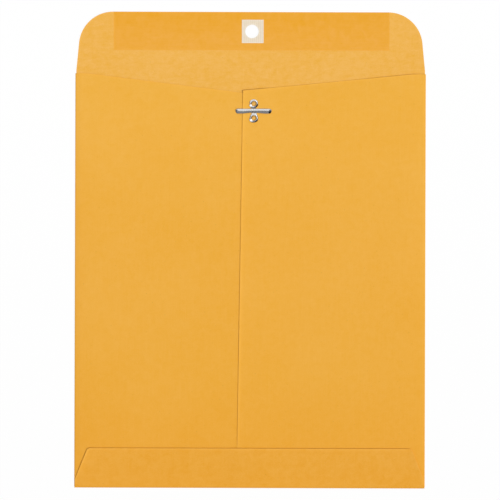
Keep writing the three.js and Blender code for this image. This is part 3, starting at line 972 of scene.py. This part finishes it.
def bell(angle, middle, width):
    """1 in one direction and 0 a few widths away from it."""
    return hump(turned_from(angle, middle), width)


# How each eyelet's top rolled over, with angles in degrees from +X. tab: its tongue towards the
# prongs, with the reach and the drop. steep: the middle and half width of the side that rolled
# down hard. chord: the nearest direction and reach of its straight edge. flat: the middle and
# width of the side that lies flattest. lobes and splits: each one's angle, width and depth.
UPPER_ROLL = {
    "tab": (-97, 3.52, 0.28),
    "steep": (-47, 37),
    "chord": (-22, 3.16),
    "flat": (213, 29),
    "lobes": ((208, 27, 0.56), (146, 18, 0.16), (90, 34, 0.06), (2, 16, -0.12)),
    "splits": ((184, 6, 0.9), (62, 4, 0.1), (118, 4, 0.08)),
}
LOWER_ROLL = {
    "tab": (88, 3.86, 0.05),
    "steep": (-67, 36),
    "chord": (-62, 3.42),
    "flat": (214, 34),
    "lobes": ((222, 34, 0.56), (-42, 24, 0.22), (160, 20, -0.26), (50, 14, 0.24), (10, 22, -0.13)),
    "splits": ((174, 5, 0.5), (262, 4, 0.1), (24, 4, 0.06)),
}
LIP_RADIUS = 1.74
LIP_SHIFT = (0.1, -0.13)


def round_reach(angle, shift, radius):
    """How far a circle that is off the middle reaches in a direction from the middle."""
    way = math.radians(angle)
    along = shift[0] * math.cos(way) + shift[1] * math.sin(way)
    across = shift[0] * math.sin(way) - shift[1] * math.cos(way)
    return along + math.sqrt(radius * radius - across * across)


def straight_reach(off, reach):
    """How far a straight edge is, in a direction that is off its nearest one."""
    return reach / math.cos(math.radians(off))


def eyelet_shape(angle, roll):
    """An eyelet's inner lip, crest, outer edge and height in one direction from its middle."""
    split = max(depth * bell(angle, middle, width) for middle, width, depth in roll["splits"])
    inner = round_reach(angle, LIP_SHIFT, LIP_RADIUS)
    flat = bell(angle, *roll["flat"])
    outer = RING_RADIUS + 0.03 * math.sin(math.radians(3 * angle + 40))
    outer += sum(depth * bell(angle, middle, width) for middle, width, depth in roll["lobes"])
    tab_angle, tab_reach, tab_drop = roll["tab"]
    off_tab = turned_from(angle, tab_angle)
    tabbed = 1 - smooth(26, 34, off_tab)
    outer = lerp(outer, straight_reach(min(off_tab, 40), tab_reach), tabbed)
    off_chord = turned_from(angle, roll["chord"][0])
    if off_chord < 50:
        outer = min(outer, straight_reach(off_chord, roll["chord"][1]))
    middle, half_width = roll["steep"]
    steep = 1 - smooth(half_width - 8, half_width + 8, turned_from(angle, middle))
    crest_share = 0.32 + 0.58 * flat - max(0.17 * steep, 0.22 * tabbed)
    outer = lerp(outer, BARREL_RADIUS + 0.35, split)
    sunk = min(1.0, split * 0.75 + tab_drop * tabbed)
    peak = lerp(RING_TOP_Z, FRONT_TOP_Z + 0.14, sunk)
    return inner, lerp(inner, outer, crest_share), outer, peak, flat, steep


def make_eyelet(name, node, y, roll):
    """A drawn barrel whose top is split and rolled outwards over the paper into a ring."""
    turns, corners = 200, []
    low = FRONT_TOP_Z + 0.03
    for turn in range(turns):
        angle = 360 * turn / turns
        inner, crest, outer, peak, flat, steep = eyelet_shape(angle, roll)
        profile = [(BORE_RADIUS, EYELET_FOOT_Z), (BORE_RADIUS, BORE_BEND_Z)]
        profile.append((lerp(BORE_RADIUS, inner, 0.8), BORE_FLARE_Z))
        for step in range(1, 7):
            bend = math.pi / 2 * step / 6
            across = 1 - math.cos(bend)
            rise = lerp(math.sin(bend), 0.52 + 0.48 * across, flat)
            profile.append((lerp(inner, crest, across), lerp(LIP_Z, peak, rise)))
        for step in range(1, 9):
            bend = math.pi / 2 * step / 8
            height = lerp(math.cos(bend), 1 - math.sin(bend), 0.75 * steep)
            profile.append((lerp(crest, outer, math.sin(bend)), lerp(low + 0.06, peak, height)))
        profile += [(outer - 0.04, low + 0.03), (outer - 0.14, low)]
        profile += [(BARREL_RADIUS + 0.1, low), (BARREL_RADIUS, low - 0.08)]
        profile += [(BARREL_RADIUS, 0.8), (BARREL_RADIUS, EYELET_FOOT_Z)]
        way = math.radians(angle)
        for radius, z in profile:
            corners.append((EYELET_X + radius * math.cos(way), y + radius * math.sin(way), z))
    count = len(profile)
    faces = []
    for turn in range(turns):
        faces += between_rings(turn * count, (turn + 1) % turns * count, count)
    piece = build_mesh(name, corners, faces, [steel_finish])
    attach(piece, "pocket")
    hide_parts(node)


# How far each prong reaches, how far its tip's rounding goes and how far its crest leans to +Y
PRONG_FORMS = {-1: (PRONG_LENGTH, 1.9, 0.16), 1: (PRONG_LENGTH + 0.35, 2.3, 0.48)}


def prong_section(travel, tip, rounding):
    """Upper and lower half widths and the crown's height at a way from the hinge."""
    to_tip = max(0.0, tip - travel)
    round_tip = math.sqrt(max(0.0, 1 - (1 - min(1.0, to_tip / PRONG_TIP_ROUND)) ** 2))
    drop = 0.2 * (1 - round_tip)
    upper = PRONG_UPPER * round_tip - drop
    lower = lerp(PRONG_WAIST, PRONG_SWELL, smooth(-1.0, tip - 4.5, travel)) * round_tip + drop
    crown = lerp(PRONG_BASE + 0.14, PRONG_CROWN, smooth(-0.3, rounding, to_tip))
    return upper, lower, crown


def make_prong(name, node, side):
    """A hollow-backed bead of strip that reaches from its tip over the slot to the other one."""
    hinge_x = CLASP_X + side * PRONG_HINGE_OFFSET
    tip, rounding, most_lean = PRONG_FORMS[side]
    # The stations stand closest together at the tip, where the bead rounds off
    stations = []
    for index in range(45):
        travel = tip * (1 - (index / 44) ** 1.6)
        upper, lower, crown = prong_section(min(travel, tip - 0.004), tip, rounding)
        root = 1 - smooth(0, 1.6, travel)
        base = lerp(PRONG_BASE, PRONG_ROOT_BASE, root * root)
        stations.append((travel, upper, lower, base, crown))
    for share in (0.35, 0.7, 0.9, 1.0):
        blunt = 0.05 * share**4
        stations.append((-PRONG_ROOT * share, PRONG_UPPER - 0.16 * share - blunt,
                         lower - 0.3 * share - blunt, PRONG_ROOT_BASE, crown - blunt))
    around = 20
    corners, faces = [], []
    for travel, upper, lower, base, crown in stations:
        outer, inner = [], []
        middle, half = (upper - lower) / 2, (upper + lower) / 2
        lean = min(0.3 * half, 0.08 + most_lean * smooth(0, 7, travel))
        for index in range(around + 1):
            turn = math.pi * index / around
            lift = max(0.0, math.sin(turn)) ** 0.85
            leaning = lean * math.sin(turn) ** 2
            outer.append((middle + half * math.cos(turn) + leaning, lerp(base, crown, lift)))
            thin = max(0.05, half - PRONG_WALL) * math.cos(turn) + leaning
            roof = max(base, lerp(base, crown, lift) - PRONG_WALL)
            inner.append((middle + thin, roof if 0 < index < around else base))
        for across, radius in outer + inner[::-1]:
            corners.append((hinge_x + side * travel, CLASP_Y + across, PRONG_HINGE_Z + radius))
    count = 2 * (around + 1)
    for station in range(len(stations) - 1):
        faces += between_rings(station * count, (station + 1) * count, count)
    for start, order in ((0, -1), (count * (len(stations) - 1), 1)):
        for index in range(around):
            last = start + count - 1 - index
            faces.append([start + index, start + index + 1, last - 1, last][::order])
    faces = [face[::-side] for face in faces]
    piece = build_mesh(name, corners, faces, [steel_finish])
    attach(piece, node)
    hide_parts(node)


def make_base_plate():
    """The strip inside the pocket that carries the eyelets, with the two tabs for the prongs."""
    reach_x, reach_y = PLATE_WIDTH / 2 - PLATE_CORNER, PLATE_HEIGHT / 2 - PLATE_CORNER
    corners = []
    for quarter, (way_x, way_y) in enumerate(((1, 1), (-1, 1), (-1, -1), (1, -1))):
        start = quarter * math.pi / 2
        corners += arc(CLASP_X + way_x * reach_x, CLASP_Y + way_y * reach_y, PLATE_CORNER,
                       start, start + math.pi / 2, 8)
    bores = [circle(EYELET_X, y, BORE_RADIUS, 40) for y in EYELET_YS]
    places, faces = cut_sheet([walk(corners, 1.5)] + bores, step=2.0, rings=(0.4,))
    plate = paper_shell("clasp_plate", places, faces, lambda u, v: (u, v, PLATE_MIDDLE_Z),
                        PLATE_THICKNESS, [steel_finish] * 3, [0.0] * len(places), 1000)
    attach(plate, "pocket")
    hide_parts("clasp_base_plate")
    for side, name in ((-1, "left_prong_tab"), (1, "right_prong_tab")):
        x = CLASP_X + side * PRONG_HINGE_OFFSET
        outline = box_corners(x, CLASP_Y, PLATE_TAB_THICKNESS, PLATE_TAB_WIDTH)
        low, high = PLATE_MIDDLE_Z, PLATE_TAB_TOP_Z
        corners = [(a, b, low) for a, b in outline] + [(a, b, high) for a, b in outline]
        faces = [[3, 2, 1, 0], [4, 5, 6, 7]]
        faces += between_rings(0, 4, 4)
        tab = build_mesh(name, corners, faces, [steel_finish], None, edges_of(faces))
        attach(tab, "pocket")


make_back_and_closure_flap()
make_side_sheets()
make_bottom_flap_sheet()
make_paste_lines()
make_gum_and_patch()
make_eyelet("upper_eyelet_ring", "upper_eyelet", EYELET_YS[0], UPPER_ROLL)
make_eyelet("lower_eyelet_ring", "lower_eyelet", EYELET_YS[1], LOWER_ROLL)
make_prong("left_prong_bead", "left_prong", -1)
make_prong("right_prong_bead", "right_prong", 1)
make_base_plate()


# Floor, light and camera, in metres
FLOOR_REACH, FLOOR_LEVEL = 4.0, -0.00005
FLOOR_GLOW, AIR_GLOW = 0.86, 0.35
FRAME_WIDTH, FRAME_LEVEL = 0.36205, 0.0015
CAMERA_X, CAMERA_TURN = -0.00012, 0.003
WHITE = (1.0, 1.0, 1.0, 1.0)
# The cards that only gloss sees, each with its corners and how brightly it glows
GLOSS_CARDS = {
    "near_grey_card": (
        [(-3.5, 0.12, 1.7), (0.2, 0.12, 1.7), (0.38, -3.4, 0.05), (-3.5, -3.4, 0.05)], 0.3),
    "near_black_card": (
        [(0.2, 0.12, 1.7), (3.5, 0.12, 1.7), (3.5, -3.4, 0.05), (0.38, -3.4, 0.05)], 0.012),
    "left_grey_card": (
        [(-2.4, -1.0, 0.02), (-2.1, 1.9, 0.02), (-0.9, 0.75, 1.75), (-1.0, -0.9, 1.75)], 0.2),
    "right_dark_card": (
        [(2.4, 0.12, 0.02), (2.2, 1.9, 0.02), (1.2, 1.0, 1.3), (1.3, 0.12, 1.3)], 0.07),
    "right_grey_card": (
        [(1.3, 0.12, 1.3), (1.2, 1.0, 1.3), (0.76, 0.5, 1.95), (0.78, 0.08, 1.95)], 0.3),
    "overhead_white_card": (
        [(0.18, 0.17, 2.0), (0.72, 0.46, 2.0), (0.58, 0.97, 2.0), (0.12, 0.27, 2.0)], 2.8),
}


def flat_card(name, corners):
    mesh = bpy.data.meshes.new(name)
    mesh.from_pydata(corners, [], [(0, 1, 2, 3)])
    card = new_object(name, mesh)
    return card


def seen_directly(recipe):
    """1 for what the camera, a gloss or a clear piece sees, and 0 for light that is scattered."""
    camera = recipe.node("ShaderNodeLightPath", None, None, "Is Camera Ray")
    glossy = recipe.node("ShaderNodeLightPath", None, None, "Is Glossy Ray")
    through = recipe.node("ShaderNodeLightPath", None, None, "Is Transmission Ray")
    both = recipe.sum_up("MAXIMUM", camera, glossy)
    return recipe.sum_up("MAXIMUM", both, through)


def make_floor():
    corners = box_corners(0, 0, 2 * FLOOR_REACH, 2 * FLOOR_REACH)
    floor = flat_card("studio_floor", [(x, y, FLOOR_LEVEL) for x, y in corners])
    recipe = new_finish("pale_floor")
    shade = recipe.node("ShaderNodeBsdfDiffuse", None, {"Color": (0.97, 0.97, 0.97, 1.0)})
    glow = recipe.node("ShaderNodeEmission", None, {"Color": WHITE, "Strength": 1.0})
    glowing = seen_directly(recipe) * FLOOR_GLOW
    mixed = recipe.node("ShaderNodeMixShader", None, {0: glowing, 1: shade, 2: glow})
    floor.data.materials.append(recipe.ended(mixed))


def make_gloss_card(name, corners, level):
    """A studio card that only gloss sees, which gives the metal its dark and bright sides."""
    card = flat_card(name, corners)
    recipe = new_finish(name)
    glow = recipe.node("ShaderNodeEmission", None, {"Color": WHITE, "Strength": level})
    card.data.materials.append(recipe.ended(glow))
    for ray in ("camera", "diffuse", "shadow", "transmission"):
        setattr(card, "visible_" + ray, False)


def make_world():
    """White for what looks straight at it, and a soft fill for the light it scatters."""
    world = bpy.data.worlds.new("studio_air")
    bpy.context.scene.world = world
    recipe = Recipe(world)
    seen = seen_directly(recipe)
    strength = seen + AIR_GLOW * (1 - seen)
    air = recipe.node("ShaderNodeBackground", None, {"Color": WHITE, "Strength": strength})
    recipe.node("ShaderNodeOutputWorld", None, {"Surface": air})


def make_lamp(name, kind, spot, settings):
    """A white lamp aimed at the middle of the envelope, kept out of the metal's reflections."""
    lamp = bpy.data.lights.new(name, kind)
    lamp.color = (1.0, 1.0, 1.0)
    for key, value in settings.items():
        setattr(lamp, key, value)
    holder = new_object(name, lamp)
    holder.location = spot
    holder.rotation_euler = Vector(spot).to_track_quat("Z", "Y").to_euler()
    holder.visible_glossy = False


def make_camera():
    """Straight above the envelope, as high as fills the photo's frame, and turned a little."""
    lens = bpy.data.cameras.new("overhead_camera")
    lens.lens, lens.sensor_width = 120, 36
    lens.clip_start, lens.clip_end = 0.05, 20
    camera = new_object("overhead_camera", lens)
    camera.location = (CAMERA_X, 0.0, FRAME_LEVEL + FRAME_WIDTH * lens.lens / lens.sensor_width)
    camera.rotation_euler = (0, 0, CAMERA_TURN)
    bpy.context.scene.camera = camera


make_floor()
for card_name, (card_corners, glow_level) in GLOSS_CARDS.items():
    make_gloss_card(card_name, card_corners, glow_level)
make_world()
make_lamp("key_lamp", "SUN", (0.81, -0.59, 1.0), {"energy": 2.28, "angle": 0.16})
make_lamp("upper_softbox", "AREA", (0.0, 1.2, 1.1), {"shape": "SQUARE", "size": 0.8, "energy": 5.5})
make_camera()
bpy.context.scene.view_settings.view_transform = "Standard"
